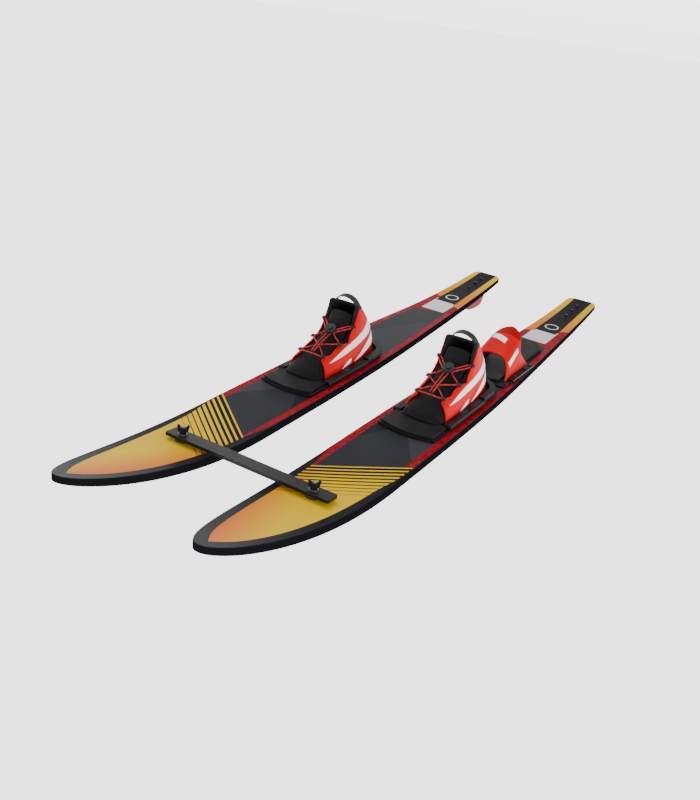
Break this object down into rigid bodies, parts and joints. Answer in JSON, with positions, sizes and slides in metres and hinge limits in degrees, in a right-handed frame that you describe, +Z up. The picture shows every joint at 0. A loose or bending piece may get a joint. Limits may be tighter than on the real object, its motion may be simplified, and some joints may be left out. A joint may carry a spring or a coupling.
{
  "type": "combination water skis with a trainer bar",
  "caption": "Pair of combination water skis with red boots, adjustable lace locks, a rear toe strap, red fins and a trainer bar joining the tips.",
  "frame": {"origin": "on the floor under the middle of the bounding box", "axes": "X across the pair, +X towards the ski on the rider's left; +Y along the skis from the tips towards the tails; +Z up"},
  "size_m": [0.4716, 1.7031, 0.1998],
  "materials": {
    "ski_laminate": "gloss printed laminate over a moulded core",
    "fin_plastic": "satin injection-moulded red plastic",
    "bar_plastic": "satin black, slightly grained",
    "black_plastic": "fine-grained black glass-filled nylon",
    "grey_plastic": "satin dark grey",
    "red_foam": "matte moulded EVA foam with printed panels",
    "black_foam": "matte grained EVA foam",
    "black_neoprene": "knit-faced neoprene, stitched",
    "black_webbing": "plain woven webbing",
    "red_cord": "braided polyester cord",
    "black_rubber": "moulded rubber",
    "dark_steel": "blackened stainless steel",
    "zinc_steel": "plain stainless steel",
    "brass": "plain turned brass"
  },
  "bodies": {
    "left_ski": {"left_ski": "ski_laminate", "left_fin": "fin_plastic", "left_fin_screws": "dark_steel", "left_bar_stud": "zinc_steel", "left_bar_spacer": "black_rubber", "left_binding_plate": "black_plastic", "left_footbed": "black_foam", "left_inner_rail": "black_plastic", "left_outer_rail": "black_plastic", "left_heel_clip": "black_plastic", "left_upper": "red_foam", "left_liner": "black_neoprene", "left_toe_cap": "black_neoprene", "left_tongue": "black_neoprene", "left_heel_loop": "black_webbing", "left_lace": "red_cord", "left_lace_loops": "black_webbing", "left_lace_lock": "grey_plastic", "left_lock_spring": "zinc_steel", "left_binding_screws": "dark_steel", "left_inserts": "brass", "toe_strap_plate": "black_plastic", "toe_strap_footpad": "black_foam", "toe_strap_inner_frame": "black_plastic", "toe_strap_outer_frame": "black_plastic", "toe_strap_upper": "red_foam", "toe_strap_lining": "black_neoprene", "toe_strap_screws": "dark_steel"},
    "trainer_bar": {"trainer_bar": "bar_plastic", "bar_washers": "zinc_steel"},
    "right_ski": {"right_ski": "ski_laminate", "right_fin": "fin_plastic", "right_fin_screws": "dark_steel", "right_bar_stud": "zinc_steel", "right_bar_spacer": "black_rubber", "right_binding_plate": "black_plastic", "right_footbed": "black_foam", "right_inner_rail": "black_plastic", "right_outer_rail": "black_plastic", "right_heel_clip": "black_plastic", "right_upper": "red_foam", "right_liner": "black_neoprene", "right_toe_cap": "black_neoprene", "right_tongue": "black_neoprene", "right_heel_loop": "black_webbing", "right_lace": "red_cord", "right_lace_loops": "black_webbing", "right_lace_lock": "grey_plastic", "right_lock_spring": "zinc_steel", "right_binding_screws": "dark_steel", "right_inserts": "brass"},
    "left_wing_nut": {"left_wing_nut": "black_plastic"},
    "right_wing_nut": {"right_wing_nut": "black_plastic"},
    "left_lock_button": {"left_lock_button": "grey_plastic"},
    "right_lock_button": {"right_lock_button": "grey_plastic"}
  },
  "joints": [
    {"name": "left_bar_pivot", "type": "hinge", "parent": "left_ski", "child": "trainer_bar", "pos_m": [0.1508, -0.534, 0.0201], "axis": [0, 0.0533, 0.9986], "range_deg": [-4, 20]},
    {"name": "right_bar_pivot", "type": "hinge", "parent": "trainer_bar", "child": "right_ski", "pos_m": [-0.1508, -0.534, 0.0201], "axis": [0, 0.0533, 0.9986], "range_deg": [-4, 20]},
    {"name": "left_wing_nut_turn", "type": "hinge", "parent": "left_ski", "child": "left_wing_nut", "pos_m": [0.1508, -0.534, 0.0201], "axis": [0, 0.0533, 0.9986], "range_deg": [0, 360]},
    {"name": "right_wing_nut_turn", "type": "hinge", "parent": "right_ski", "child": "right_wing_nut", "pos_m": [-0.1508, -0.534, 0.0201], "axis": [0, 0.0533, 0.9986], "range_deg": [0, 360]},
    {"name": "left_lock_press", "type": "slide", "parent": "left_ski", "child": "left_lock_button", "axis": [0, 0.5677, -0.8232], "range_m": [0, 0.002], "stiffness_N_per_m": 800, "springref_m": -0.002, "deforming": ["left_lock_spring"]},
    {"name": "right_lock_press", "type": "slide", "parent": "right_ski", "child": "right_lock_button", "axis": [0, 0.5677, -0.8232], "range_m": [0, 0.002], "stiffness_N_per_m": 800, "springref_m": -0.002, "deforming": ["right_lock_spring"]}
  ]
}
